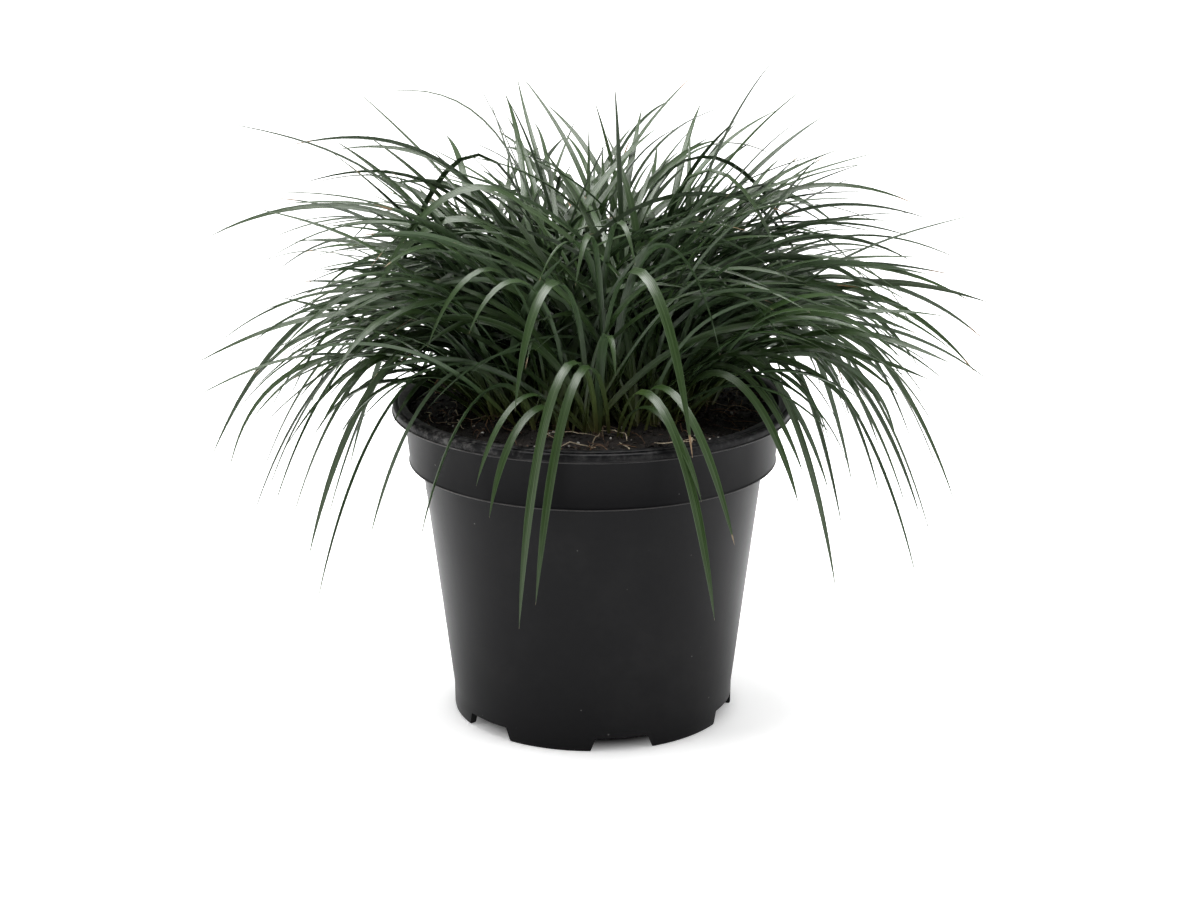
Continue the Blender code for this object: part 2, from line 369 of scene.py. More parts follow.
def leaf_material(settings):
    """Satin strap leaf: fine lengthwise veins, pale sheath, dry tip."""
    material, tree, shader = new_material("grass_leaf")
    across, under, along = blade_uv(tree)
    tone = attribute_value(tree, "tone")
    dry = attribute_value(tree, "dry")
    grain = add_node(tree, "ShaderNodeCombineXYZ")
    put(tree, grain.inputs[0], calc(tree, "MULTIPLY", across, 14.0))
    put(tree, grain.inputs[1], calc(tree, "MULTIPLY", along, 5.0))
    put(tree, grain.inputs[2], calc(tree, "MULTIPLY", tone, 91.0))
    streaks = noise_value(tree, grain.outputs[0], 1.0, 3.0, 0.6)
    vein_wave = calc(tree, "SINE", calc(tree, "MULTIPLY", across, tau * 6.0))
    veins = calc(tree, "MULTIPLY_ADD", vein_wave, 0.5, 0.5)
    middle = calc(tree, "ABSOLUTE", calc(tree, "SUBTRACT", across, 0.5))
    rib = calc(tree, "SUBTRACT", 1.0, ramp(tree, middle, 0.0, 0.07))
    green = mix(tree, tone, settings.green[:], settings.blue_green[:])
    pale = mix(tree, 0.55, green, (0.11, 0.16, 0.085))
    lines = calc(tree, "MULTIPLY", veins, ramp(tree, streaks, 0.35, 0.75))
    body = mix(tree, calc(tree, "MULTIPLY", lines, 0.6), green, pale)
    margin = ramp(tree, middle, 0.40, 0.47)
    body = mix(tree, calc(tree, "MULTIPLY", margin, 0.45), body, pale)
    body = mix(tree, calc(tree, "MULTIPLY", rib, 0.3), body, (0.09, 0.14, 0.06))
    underside = mix(tree, 0.45, body, (0.055, 0.085, 0.050))
    body = mix(tree, calc(tree, "MULTIPLY", under, 0.8), body, underside)
    sheath = calc(tree, "SUBTRACT", 1.0, ramp(tree, along, 0.03, 0.30))
    body = mix(tree, calc(tree, "MULTIPLY", sheath, 0.7), body, (0.095, 0.125, 0.028))
    foot = calc(tree, "SUBTRACT", 1.0, ramp(tree, along, 0.02, 0.10))
    body = mix(tree, calc(tree, "MULTIPLY", foot, 0.6), body, (0.16, 0.14, 0.055))
    tip_start = calc(tree, "SUBTRACT", 0.990, calc(tree, "MULTIPLY", dry, 0.08))
    tip = ramp(tree, calc(tree, "SUBTRACT", along, tip_start), 0.0, 0.012)
    body = mix(tree, tip, body, mix(tree, dry, (0.20, 0.17, 0.11), (0.20, 0.11, 0.05)))
    put(tree, shader.inputs["Base Color"], body)
    roughness = calc(tree, "MULTIPLY_ADD", streaks, 0.16, 0.24)
    put(tree, shader.inputs["Roughness"], roughness)
    height = calc(tree, "MULTIPLY_ADD", veins, 0.6, calc(tree, "MULTIPLY", streaks, 0.4))
    put(tree, shader.inputs["Normal"], bump(tree, height, 0.35, 0.2 * MM))
    shader.inputs["Specular IOR Level"].default_value = 0.40
    return material


def highlight_band(tree, height, level):
    """1 on the half millimetre above a level, where a moulded edge gets a painted highlight line."""
    above = ramp(tree, height, level - 0.05 * MM, level + 0.05 * MM)
    below = ramp(tree, height, level + 0.45 * MM, level + 0.6 * MM)
    return calc(tree, "SUBTRACT", above, below, clamp=True)


def plastic_material(settings):
    """Satin moulded plastic: scuffed lip, painted edge highlights, a few specks and a thin dusty film; scuff
    marks and highlights are painted lighter on the left.
    """
    material, tree, shader = new_material("pot_plastic")
    place = object_place(tree)
    split = add_node(tree, "ShaderNodeSeparateXYZ")
    tree.links.new(place, split.inputs[0])
    left = calc(tree, "MULTIPLY", split.outputs[0], -1.0)
    height = split.outputs[2]
    cloud = noise_value(tree, place, 28.0, 4.0, 0.6)
    # Painted light: strong on the left, where the light falls, and weak at the front and right.
    lit_from_left = calc(tree, "MULTIPLY_ADD", ramp(tree, left, 10 * MM, 50 * MM), 0.42, 0.13)
    lip_zone = ramp(tree, height, POT_HEIGHT - 4 * MM, POT_HEIGHT - 1.5 * MM)
    # Real scuff marks on the lip, painted lighter on the left where the light falls.
    scuffs_lit_left = ramp(tree, noise_value(tree, place, 420.0, 5.0, 0.7), 0.42, 0.70)
    scuffs_lit_left = calc(tree, "MULTIPLY", calc(tree, "MULTIPLY", lip_zone, scuffs_lit_left), lit_from_left)
    specks = ramp(tree, noise_value(tree, place, 420.0, 1.0, 0.5), 0.79, 0.83)
    # Painted highlight lines along the lower edge of the lip and of the collar, broken up by noise and
    # brighter on the left.
    edge_highlights = calc(tree, "MAXIMUM", highlight_band(tree, height, COLLAR_BOTTOM), highlight_band(tree, height, LIP_BOTTOM))
    broken = ramp(tree, noise_value(tree, place, 60.0, 3.0, 0.6), 0.2, 0.6)
    edge_highlights = calc(tree, "MULTIPLY", edge_highlights, broken)
    # The painted highlight lines are brighter on the left, where the light falls.
    edge_highlights = calc(tree, "MULTIPLY", edge_highlights, calc(tree, "MULTIPLY_ADD", lit_from_left, 0.6, 0.10))
    # One pale mask: real scuff marks, specks and a dusty film, with the painted highlight lines and the
    # painted light on the left.
    dust_and_highlight = calc(tree, "MAXIMUM", scuffs_lit_left, calc(tree, "MULTIPLY", specks, 0.5))
    dust_and_highlight = calc(tree, "MAXIMUM", dust_and_highlight, edge_highlights)
    film = calc(tree, "MULTIPLY", ramp(tree, cloud, 0.45, 0.8), 0.03)
    dust_and_highlight = calc(tree, "ADD", dust_and_highlight, film, clamp=True)
    roughness = calc(tree, "MULTIPLY_ADD", cloud, 0.12, 0.30)
    roughness = calc(tree, "MULTIPLY_ADD", dust_and_highlight, 0.35, roughness, clamp=True)
    add_grain(
        tree, shader, color=mix(tree, dust_and_highlight, settings.plastic[:], settings.dust_and_highlight[:]),
        grain_color=settings.plastic[:], grain_share=0.25, scale=900.0,
        roughness=roughness, roughness_spread=0.06, relief=0.12, relief_height=0.06 * MM)
    shader.inputs["Specular IOR Level"].default_value = 0.085
    return material


def soil_material(settings):
    """Damp peat, near black, with browner patches."""
    material, tree, shader = new_material("potting_soil")
    place = object_place(tree)
    patches = noise_value(tree, place, 120.0, 3.0, 0.6)
    warm = mix(tree, ramp(tree, patches, 0.45, 0.75), settings.peat[:], (0.011, 0.007, 0.005))
    add_grain(
        tree, shader, color=warm, grain_color=(0.018, 0.013, 0.010), grain_share=0.35, scale=700.0,
        roughness=0.62, roughness_spread=0.3, relief=0.9, relief_height=0.6 * MM)
    shader.inputs["Specular IOR Level"].default_value = 0.25
    return material


def crumb_material(name, dark, light):
    """Small loose bits, each with its own tone."""
    material, tree, shader = new_material(name)
    tone = attribute_value(tree, "tone")
    add_grain(
        tree, shader, color=mix(tree, tone, dark, light), grain_color=dark, grain_share=0.6, scale=1300.0,
        roughness=0.55, roughness_spread=0.3, relief=0.6, relief_height=0.3 * MM)
    shader.inputs["Specular IOR Level"].default_value = 0.3
    return material


# ---------------------------------------------------------------- turned shapes

def arc(centre_radius, centre_height, radius, start, end, steps):
    """Points on an arc in the (radius, height) plane, angles in degrees."""
    points = []
    for step in range(steps + 1):
        angle = radians(start + (end - start) * step / steps)
        points.append((centre_radius + radius * cos(angle), centre_height + radius * sin(angle)))
    return points


def turn_profile(name, profile, segments):
    """Turn a profile about the Z axis: a circle extruded ring by ring. Both ends close on the axis."""
    first_radius, first_height = profile[0]
    deselect_all()
    bpy.ops.mesh.primitive_circle_add(
        vertices=segments, radius=first_radius, fill_type="NGON", location=(0, 0, first_height))
    obj = take_active(name)
    freeze_place(obj)
    bpy.ops.object.mode_set(mode="EDIT")
    bpy.ops.mesh.select_all(action="SELECT")
    radius, height = profile[0]
    for next_radius, next_height in profile[1:]:
        bpy.ops.mesh.extrude_region_move(
            TRANSFORM_OT_translate={"value": (0, 0, next_height - height)})
        share = next_radius / radius
        bpy.ops.transform.resize(value=(share, share, 1), center_override=(0, 0, next_height))
        radius, height = next_radius, next_height
    bpy.ops.mesh.select_all(action="SELECT")
    bpy.ops.mesh.normals_make_consistent(inside=False)
    bpy.ops.object.mode_set(mode="OBJECT")
    return obj


# ---------------------------------------------------------------- pot

COLLAR_BOTTOM = 85 * MM
LIP_BOTTOM = POT_HEIGHT - 3.3 * MM
WALL = 1.2 * MM
FLOOR_TOP = 6.4 * MM
FLOOR_UNDERSIDE = 5.2 * MM
BODY_BOTTOM = 8 * MM
BODY_BOTTOM_RADIUS = 46.2 * MM
BODY_FLARE = 9.6 * MM
COLLAR_BOTTOM_RADIUS = 59.7 * MM
COLLAR_FLARE = 1.6 * MM
FOOT_RADIUS = 45.6 * MM
FOOT_INNER_RADIUS = 43.6 * MM
NOTCH_HEIGHT = 4.5 * MM
NOTCH_TOP_HALF_WIDTH = 8.6 * MM
NOTCH_FOOT_HALF_WIDTH = 11.0 * MM
FIRST_NOTCH = -78
DRAIN_RADIUS = 3.5 * MM
DRAIN_RING_RADIUS = 32 * MM


def body_radius(height):
    """Outer radius of the body, which widens towards the collar."""
    return BODY_BOTTOM_RADIUS + (height - BODY_BOTTOM) / (COLLAR_BOTTOM - BODY_BOTTOM) * BODY_FLARE


def collar_radius(height):
    """Outer radius of the collar, which widens a little towards the lip."""
    return COLLAR_BOTTOM_RADIUS + (height - COLLAR_BOTTOM) / (LIP_BOTTOM - COLLAR_BOTTOM) * COLLAR_FLARE


def pot_profile():
    """From the floor inside, up the inner wall, over the lip and down the outside to the foot."""
    step_top = COLLAR_BOTTOM + WALL
    inside = [
        (10 * MM, FLOOR_TOP),
        (body_radius(FLOOR_TOP) - WALL - 1.0 * MM, FLOOR_TOP),
        (body_radius(FLOOR_TOP + 1.0 * MM) - WALL, FLOOR_TOP + 1.0 * MM),
        (body_radius(step_top) - WALL, step_top),
        (collar_radius(step_top) - WALL, step_top),
        (60.1 * MM, LIP_BOTTOM),
        (60.4 * MM, POT_HEIGHT - 0.9 * MM),
    ]
    lip = arc(61.2 * MM, POT_HEIGHT - 0.8 * MM, 0.8 * MM, 172, 90, 5)
    lip += arc(62.7 * MM, POT_HEIGHT - 0.5 * MM, 0.5 * MM, 90, 10, 4)
    lip += arc(63.65 * MM, POT_HEIGHT - 0.72 * MM, 0.35 * MM, 200, 330, 4)
    lip += arc(LIP_RADIUS - 1.0 * MM, POT_HEIGHT - 1.35 * MM, 0.95 * MM, 92, 4, 6)
    lip += [(LIP_RADIUS - 0.05 * MM, LIP_BOTTOM + 0.75 * MM)]
    lip += arc(LIP_RADIUS - 0.1 * MM, LIP_BOTTOM + 0.35 * MM, 0.35 * MM, 60, -90, 6)
    collar = [
        (collar_radius(LIP_BOTTOM) + 0.2 * MM, LIP_BOTTOM),
        (collar_radius(LIP_BOTTOM), LIP_BOTTOM - 0.2 * MM),
        (COLLAR_BOTTOM_RADIUS, COLLAR_BOTTOM + 1.0 * MM),
    ]
    edge = 0.35 * MM
    collar += arc(COLLAR_BOTTOM_RADIUS - 0.05 * MM, COLLAR_BOTTOM + edge, edge, 50, -90, 6)
    body_top_radius = body_radius(COLLAR_BOTTOM)
    body = [(body_top_radius + 0.3 * MM, COLLAR_BOTTOM), (body_top_radius, COLLAR_BOTTOM - 0.3 * MM)]
    body += [(body_radius(z * MM), z * MM) for z in (60, 35, 8)]
    body += [(46.15 * MM, 4.2 * MM), (46.1 * MM, 0.9 * MM), (45.95 * MM, 0.3 * MM), (FOOT_RADIUS, 0)]
    foot = [
        (FOOT_INNER_RADIUS + 0.3 * MM, 0),
        (FOOT_INNER_RADIUS, 0.3 * MM),
        (FOOT_INNER_RADIUS, FLOOR_UNDERSIDE),
        (10 * MM, FLOOR_UNDERSIDE),
    ]
    return inside + lip + collar + body + foot


def cutter_block(azimuth):
    """A block across the foot ring, narrower at its top, for one drain notch."""
    deselect_all()
    bpy.ops.mesh.primitive_cube_add(size=1.0)
    block = take_active("notch_block")
    points = get_points(block.data)
    top = points[:, 2] > 0
    half_width = np.where(top, NOTCH_TOP_HALF_WIDTH, NOTCH_FOOT_HALF_WIDTH)
    shaped = np.empty_like(points)
    shaped[:, 0] = FOOT_RADIUS + 8 * MM * points[:, 0]
    shaped[:, 1] = 2 * half_width * points[:, 1]
    shaped[:, 2] = np.where(top, NOTCH_HEIGHT, -2 * MM)
    set_points(block.data, shaped)
    block.data.transform(Matrix.Rotation(azimuth, 4, "Z"))
    return block


def cutter_drain(azimuth, radius):
    """A pin through the floor, for one drain hole."""
    deselect_all()
    bpy.ops.mesh.primitive_cylinder_add(
        vertices=48, radius=DRAIN_RADIUS, depth=6 * MM,
        location=(radius * cos(azimuth), radius * sin(azimuth), (FLOOR_TOP + FLOOR_UNDERSIDE) / 2))
    drain = take_active("drain_pin")
    freeze_place(drain)
    return drain


def cut_away(obj, cutters):
    """Subtract the cutters from a piece and delete them."""
    for cutter in cutters:
        boolean = obj.modifiers.new("cut", "BOOLEAN")
        boolean.operation = "DIFFERENCE"
        boolean.object = cutter
    apply_modifiers(obj)
    for cutter in cutters:
        bpy.data.objects.remove(cutter, do_unlink=True)


class GRASS_OT_pot(bpy.types.Operator):
    """Build the nursery pot"""
    bl_idname = "object.grass_pot"
    bl_label = "Build Pot"

    def execute(self, context):
        settings = context.scene.grass_pot
        pot = turn_profile("nursery_pot", pot_profile(), settings.segments)
        azimuths = [radians(FIRST_NOTCH + 60 * number) for number in range(6)]
        cutters = [cutter_block(azimuth) for azimuth in azimuths]
        cutters += [cutter_drain(azimuth, DRAIN_RING_RADIUS) for azimuth in azimuths]
        cutters.append(cutter_drain(0.0, 0.0))
        cut_away(pot, cutters)
        pot.data.materials.append(plastic_material(settings))
        finish_piece(pot, "pot", smooth=32)
        return {"FINISHED"}


# ---------------------------------------------------------------- soil

SOIL_FLOOR = FLOOR_TOP + 0.3 * MM
SOIL_RIM = 59.7 * MM
SOIL_EDGE = 101.0 * MM
CLOD_SIZE, CLOD_RISE = 9 * MM, 1.3 * MM
GRIT_SIZE, GRIT_RISE = 2.6 * MM, 0.45 * MM
THREAD_RINGS = 9


def soil_height(radius):
    """Mean height of the soil surface at a distance from the axis."""
    share = np.minimum(1.0, radius / SOIL_RIM)
    return SOIL_TOP - (SOIL_TOP - SOIL_EDGE) * share ** 2


def lumps(points, size, depth):
    """Smooth random heights over the soil, from the place of each point."""
    heights = [noise.fractal(Vector((x / size, y / size, 0.37)), 1.0, 2.0, 4) for x, y in points[:, :2]]
    return np.array(heights) * depth


def soil_surface(x, y):
    """Height of the lumpy soil surface at one place."""
    place = np.array([[x, y, 0.0]])
    radius = float(np.hypot(x, y))
    return float(soil_height(radius)) + float(lumps(place, CLOD_SIZE, CLOD_RISE)[0])


class GRASS_OT_soil(bpy.types.Operator):
    """Build the soil plug with its lumpy top"""
    bl_idname = "object.grass_soil"
    bl_label = "Build Soil"

    def execute(self, context):
        settings = context.scene.grass_soil
        radii = np.linspace(0.8 * MM, SOIL_RIM, 64)
        top = [(radius, float(soil_height(radius))) for radius in radii]
        gap = 0.3 * MM
        step = COLLAR_BOTTOM + WALL + gap
        side = [
            (collar_radius(step) - WALL - gap, step),
            (body_radius(step) - WALL - gap, step),
            (body_radius(SOIL_FLOOR + 1.0 * MM) - WALL - gap, SOIL_FLOOR + 1.0 * MM),
            (body_radius(SOIL_FLOOR) - WALL - 1.0 * MM - gap, SOIL_FLOOR),
            (1.0 * MM, SOIL_FLOOR),
        ]
        soil = turn_profile("soil_plug", top + side, 180)
        points = get_points(soil.data)
        radius = np.hypot(points[:, 0], points[:, 1])
        surface = points[:, 2] > 100 * MM
        fade = np.clip((SOIL_RIM - radius) / (4 * MM), 0.15, 1)
        rise = lumps(points, CLOD_SIZE, CLOD_RISE) + lumps(points, GRIT_SIZE, GRIT_RISE) * fade
        points[surface, 2] += rise[surface]
        set_points(soil.data, points)
        soil.data.materials.append(soil_material(settings))
        finish_piece(soil, "soil", smooth=180)
        return {"FINISHED"}


def crumb_template(name, stretch):
    """A small uneven lump, or a squashed and coarser one where a stretch is given."""
    deselect_all()
    bpy.ops.mesh.primitive_ico_sphere_add(subdivisions=2 if stretch is None else 1, radius=0.5)
    lump = take_active(name)
    points = get_points(lump.data)
    push = np.array([noise.noise(Vector(point) * 2.3 + Vector((4.1, 0.2, 7.7))) for point in points])
    points *= (1 + 0.55 * push)[:, None]
    if stretch is not None:
        points *= np.array(stretch)
    set_points(lump.data, points)
    return lump


def scatter_places(rng, count, inner, outer, crowding):
    """Random places on the soil, even at a crowding of 0.5 and thicker towards the middle above it."""
    radius = inner + (outer - inner) * rng.random(count) ** crowding
    azimuth = rng.random(count) * tau
    x, y = radius * np.cos(azimuth), radius * np.sin(azimuth)
    z = np.array([soil_surface(a, b) for a, b in zip(x, y)])
    return np.stack([x, y, z], axis=1)


def scatter(name, template, rng, places, sizes, flatten, material):
    """Join many turned copies of a template into one piece lying on the soil."""
    template_points = get_points(template.data)
    count = len(places)
    array_of(template, count)
    turns = random_turns(rng, count)
    turns[:, 2, :] *= flatten
    scales = sizes[:, None] * rng.uniform(0.75, 1.25, size=(count, 3))
    place_copies(template, template_points, turns, scales, places)
    set_attribute(template.data, "tone", np.repeat(rng.random(count), len(template_points)))
    template.data.materials.append(material)
    template.name = name
    return finish_piece(template, None, smooth=35)


def thread_lines(rng, count, length):
    """Centrelines of threads that wander over the soil, arching a little clear of it."""
    places = scatter_places(rng, count, 33 * MM, 57 * MM, 0.7)
    size = (count, THREAD_RINGS)
    heading = rng.random((count, 1)) * tau + np.cumsum(rng.normal(0, 0.3, size), axis=1)
    step = length * rng.uniform(0.3, 1.4, (count, 1)) / (THREAD_RINGS - 1)
    x = places[:, :1] + np.cumsum(np.cos(heading) * step, axis=1)
    y = places[:, 1:2] + np.cumsum(np.sin(heading) * step, axis=1)
    inward = np.minimum(1, (SOIL_RIM - 2.2 * MM) / np.hypot(x, y))
    x, y = x * inward, y * inward
    z = np.array([soil_surface(a, b) for a, b in zip(x.ravel(), y.ravel())]).reshape(size)
    arch = rng.uniform(0, 2.2 * MM, (count, 1)) * np.sin(np.linspace(0, pi, THREAD_RINGS))[None, :]
    return np.stack([x, y, z + arch + 0.5 * MM], axis=2)


def lay_threads(name, rng, count, length, thickness, material):
    """Join many thin threads into one piece lying on the soil."""
    line = thread_lines(rng, count, length)
    obj = tube_template(name, THREAD_RINGS)
    ring, corner = template_layout(obj.data)
    array_of(obj, count)
    way = np.gradient(line, axis=1)
    side = np.stack([-way[:, :, 1], way[:, :, 0], 0 * way[:, :, 0]], axis=2)
    side /= np.linalg.norm(side, axis=2, keepdims=True)
    taper = np.sqrt(np.sin(np.linspace(0.3, pi - 0.15, THREAD_RINGS)))
    radius = thickness / 2 * rng.uniform(0.5, 1.3, (count, 1)) * taper[ring][None, :]
    out = np.choose(corner, [-1.0, 0.0, 1.0, 0.0])
    rise = np.choose(corner, [0.0, 1.0, 0.0, -1.0])
    places = line[:, ring] + side[:, ring] * (out * radius)[:, :, None]
    places[:, :, 2] += rise * radius
    set_points(obj.data, places.reshape(-1, 3))
    set_attribute(obj.data, "tone", np.repeat(rng.random(count), len(ring)))
    obj.data.materials.append(material)
    return finish_piece(obj, None, smooth=60)


class GRASS_OT_threads(bpy.types.Operator):
    """Lay root threads and peat fibres over the soil"""
    bl_idname = "object.grass_threads"
    bl_label = "Lay Threads"

    def execute(self, context):
        rng = np.random.default_rng(63)
        root = crumb_material("root_thread", (0.14, 0.105, 0.065), (0.52, 0.45, 0.33))
        fibre = crumb_material("peat_fibre", (0.030, 0.016, 0.009), (0.13, 0.070, 0.032))
        lay_threads("root_threads", rng, context.scene.grass_soil.roots, 13 * MM, 0.42 * MM, root)
        lay_threads("peat_fibres", rng, 3 * context.scene.grass_soil.roots, 8 * MM, 0.34 * MM, fibre)
        return {"FINISHED"}


class GRASS_OT_crumbs(bpy.types.Operator):
    """Scatter crumbs of peat, bark chips and perlite over the soil"""
    bl_idname = "object.grass_crumbs"
    bl_label = "Scatter Crumbs"

    def execute(self, context):
        settings = context.scene.grass_soil
        rng = np.random.default_rng(41)
        peat = crumb_material("peat_crumb", (0.004, 0.0032, 0.0027), (0.018, 0.012, 0.008))
        bark = crumb_material("bark_chip", (0.010, 0.006, 0.0042), (0.055, 0.030, 0.016))
        white = crumb_material("perlite_speck", (0.30, 0.29, 0.27), (0.62, 0.60, 0.56))
        places = scatter_places(rng, settings.crumbs, 0.0, 59.0 * MM, 0.5)
        sizes = rng.uniform(0.6, 2.3, settings.crumbs) * MM
        scatter("peat_crumbs", crumb_template("peat_crumbs", (1, 0.9, 0.7)), rng, places, sizes, 0.8, peat)
        places = scatter_places(rng, settings.chips, 4 * MM, 58.0 * MM, 0.5)
        sizes = rng.uniform(2.2, 5.4, settings.chips) * MM
        scatter("bark_chips", crumb_template("bark_chips", (1, 0.42, 0.16)), rng, places, sizes, 0.5, bark)
        places = scatter_places(rng, 54, 20 * MM, 57.0 * MM, 0.5)
        places[:, 2] += 0.5 * MM
        sizes = rng.uniform(0.35, 1.1, 54) * MM
        scatter("perlite_specks", crumb_template("perlite_specks", None), rng, places, sizes, 0.9, white)
        return {"FINISHED"}


# ---------------------------------------------------------------- leaves

# Leaves given one by one. Each grows at (x, y), arches over at its crest and ends at its tip, all in mm.
# A crest below the tip marks a leaf that rises all the way.
Leaf = namedtuple("Leaf", "x y tip_x tip_y tip_z crest width")

DRAPED = (
    Leaf(1, -38, -22, -82, 55, 130, 2.9),
    Leaf(5, -37, -17, -80, 62, 128, 2.7),
    Leaf(8, -38, 37, -80, 57, 120, 2.8),
    Leaf(11, -36, 43, -74, 79, 121, 2.6),
    Leaf(9, -38, 33, -72, 92, 115, 2.3),
    Leaf(26, -26, 64, -50, 84, 122, 2.5),
    Leaf(-10, -38, -35, -69, 96, 119, 1.8),
    Leaf(-9, -38, -31, -72, 87, 115, 2.2),
    Leaf(-18, -33, -53, -62, 75, 120, 2.7),
)
ARCHED = (
    Leaf(-2, -12, -67, -40, 147, 179, 2.8),
    Leaf(-12, -14, -76, -26, 128, 168, 2.7),
    Leaf(-2, -30, -23, -70, 120, 154, 2.8),
    Leaf(6, -24, -16, -50, 155, 165, 2.5),
    Leaf(-8, -30, -37, -60, 141, 154, 2.5),
    Leaf(-14, -26, -50, -52, 135, 156, 2.3),
    Leaf(4, -28, -5, -56, 155, 168, 2.7),
    Leaf(2, -24, 13, -50, 160, 171, 2.7),
    Leaf(6, -24, 39, -50, 132, 163, 2.8),
    Leaf(2, -30, 30, -76, 107, 158, 3.0),
    Leaf(2, -38, 7, -60, 128, 138, 2.8),
    Leaf(12, -22, 62, -38, 128, 150, 2.5),
    Leaf(12, -6, 67, -22, 126, 182, 2.5),
)
LEFT_SIDE = (
    Leaf(-26, -22, -89, -28, 42, 124, 2.8),
    Leaf(-25, -24, -70, -42, 70, 122, 2.2),
    Leaf(-28, -16, -92, -18, 56, 130, 2.5),
    Leaf(-30, -8, -111, -12, 66, 132, 2.5),
    Leaf(-29, -12, -99, -14, 62, 130, 2.3),
    Leaf(-30, -4, -109, -4, 77, 136, 2.3),
    Leaf(-30, 0, -125, 0, 84, 142, 2.5),
    Leaf(-30, 2, -125, 4, 119, 140, 2.2),
    Leaf(-22, 4, -125, 6, 156, 167, 2.2),
    Leaf(-20, 8, -93, 14, 172, 176, 2.0),
    Leaf(-14, 6, -83, 12, 184, 185, 2.0),
    Leaf(-8, 4, -69, 8, 203, 204, 2.3),
    Leaf(-4, 6, -28, 10, 202, 200, 2.0),
)
RIGHT_SIDE = (
    Leaf(10, 8, 7, 8, 206, 200, 2.2),
    Leaf(20, 6, 58, 8, 214, 200, 2.3),
    Leaf(14, 4, 67, 8, 195, 195, 2.3),
    Leaf(16, 6, 78, 10, 184, 184, 2.2),
    Leaf(22, 8, 105, 12, 166, 173, 2.0),
    Leaf(24, 6, 109, 8, 162, 167, 2.0),
    Leaf(22, 2, 104, 2, 157, 162, 2.0),
    Leaf(24, 0, 103, -2, 150, 158, 2.0),
    Leaf(26, 0, 123, 0, 136, 149, 2.3),
    Leaf(28, -2, 127, -2, 124, 145, 2.3),
    Leaf(28, -6, 129, -6, 111, 132, 2.3),
    Leaf(27, -6, 104, -12, 119, 146, 2.2),
    Leaf(30, -4, 119, -4, 69, 138, 2.5),
    Leaf(30, -10, 106, -14, 46, 130, 2.5),
    Leaf(27, -20, 78, -30, 49, 131, 2.7),
    Leaf(28, -10, 102, -16, 70, 134, 2.2),
    Leaf(27, -18, 75, -30, 82, 124, 2.2),
    Leaf(26, -22, 66, -40, 91, 123, 2.0),
)
BEHIND = tuple(
    row._replace(x=-row.x, y=-row.y, tip_x=-row.tip_x, tip_y=-row.tip_y) for row in DRAPED + ARCHED)
PLACED = DRAPED + ARCHED + LEFT_SIDE + RIGHT_SIDE + BEHIND
LEAF_ROOT = SOIL_TOP - 3.5 * MM

RINGS = 26
CORNERS = 4
LEFT, MIDDLE, RIGHT, KEEL = 0, 1, 2, 3


def tube_template(name, rings):
    """A four-sided tube of many rings, one unit apart, closed at both ends."""
    deselect_all()
    bpy.ops.mesh.primitive_circle_add(vertices=CORNERS, radius=1.0, fill_type="NGON")
    leaf = take_active(name)
    bpy.ops.object.mode_set(mode="EDIT")
    bpy.ops.mesh.select_all(action="SELECT")
    for _ in range(rings - 1):
        bpy.ops.mesh.extrude_region_move(TRANSFORM_OT_translate={"value": (0, 0, 1)})
    bpy.ops.mesh.select_all(action="SELECT")
    bpy.ops.mesh.normals_make_consistent(inside=False)
    bpy.ops.object.mode_set(mode="OBJECT")
    return leaf


def template_layout(mesh):
    """The ring and the corner of each vertex of the template."""
    points = get_points(mesh)
    ring = np.rint(points[:, 2]).astype(int)
    corner = np.full(len(points), MIDDLE)
    corner[points[:, 0] < -0.5] = LEFT
    corner[points[:, 0] > 0.5] = RIGHT
    corner[points[:, 1] < -0.5] = KEEL
    return ring, corner


def template_map(mesh, ring, corner):
    """Across and along of each face corner, with the underside shifted one unit across."""
    loops = np.empty(len(mesh.loops), dtype=int)
    mesh.loops.foreach_get("vertex_index", loops)
    across = np.choose(corner[loops], [0.02, 0.5, 0.98, 0.5])
    under = np.zeros(len(loops))
    for face in mesh.polygons:
        if KEEL in corner[list(face.vertices)]:
            under[list(face.loop_indices)] = 1.0
    return across, under, ring_share()[ring[loops]]


def ring_share():
    """Place of each ring along the leaf, closer together towards the tip."""
    even = np.linspace(0, 1, RINGS)
    return 1 - (1 - even) ** 1.15


def grown_lines(leaf):
    """Centreline and side of many leaves at every ring, each bent over by its own weight."""
    def column(name):
        return leaf[name][:, None]

    share = ring_share()[None, :]
    ease = 0.3 * share + 0.7 * (1 - np.cos(pi * share ** column("onset"))) / 2
    sway = np.sin(tau * (share * column("waves") + column("phase"))) * share
    slope = column("rise") - column("bend") * ease + radians(1.8) * sway
    heading = column("heading") + column("drift") * share ** 1.6 + radians(1.5) * sway
    flat = np.cos(slope)
    direction = np.stack([np.cos(heading) * flat, np.sin(heading) * flat, np.sin(slope)], axis=2)
    gaps = np.diff(share, axis=1)[:, :, None] * leaf["length"][:, None, None]
    steps = (direction[:, 1:] + direction[:, :-1]) / 2 * gaps
    line = np.concatenate([np.zeros((len(steps), 1, 3)), np.cumsum(steps, axis=1)], axis=1)
    side = np.stack([-np.sin(heading), np.cos(heading), 0 * heading], axis=2)
    return line + leaf["root"][:, None, :], side


def bezier(corners, share):
    """Points on a cubic curve at each share of its span."""
    a, b, c, d = corners
    t = np.asarray(share)[:, None]
    return a * (1 - t) ** 3 + 3 * b * t * (1 - t) ** 2 + 3 * c * t ** 2 * (1 - t) + d * t ** 3


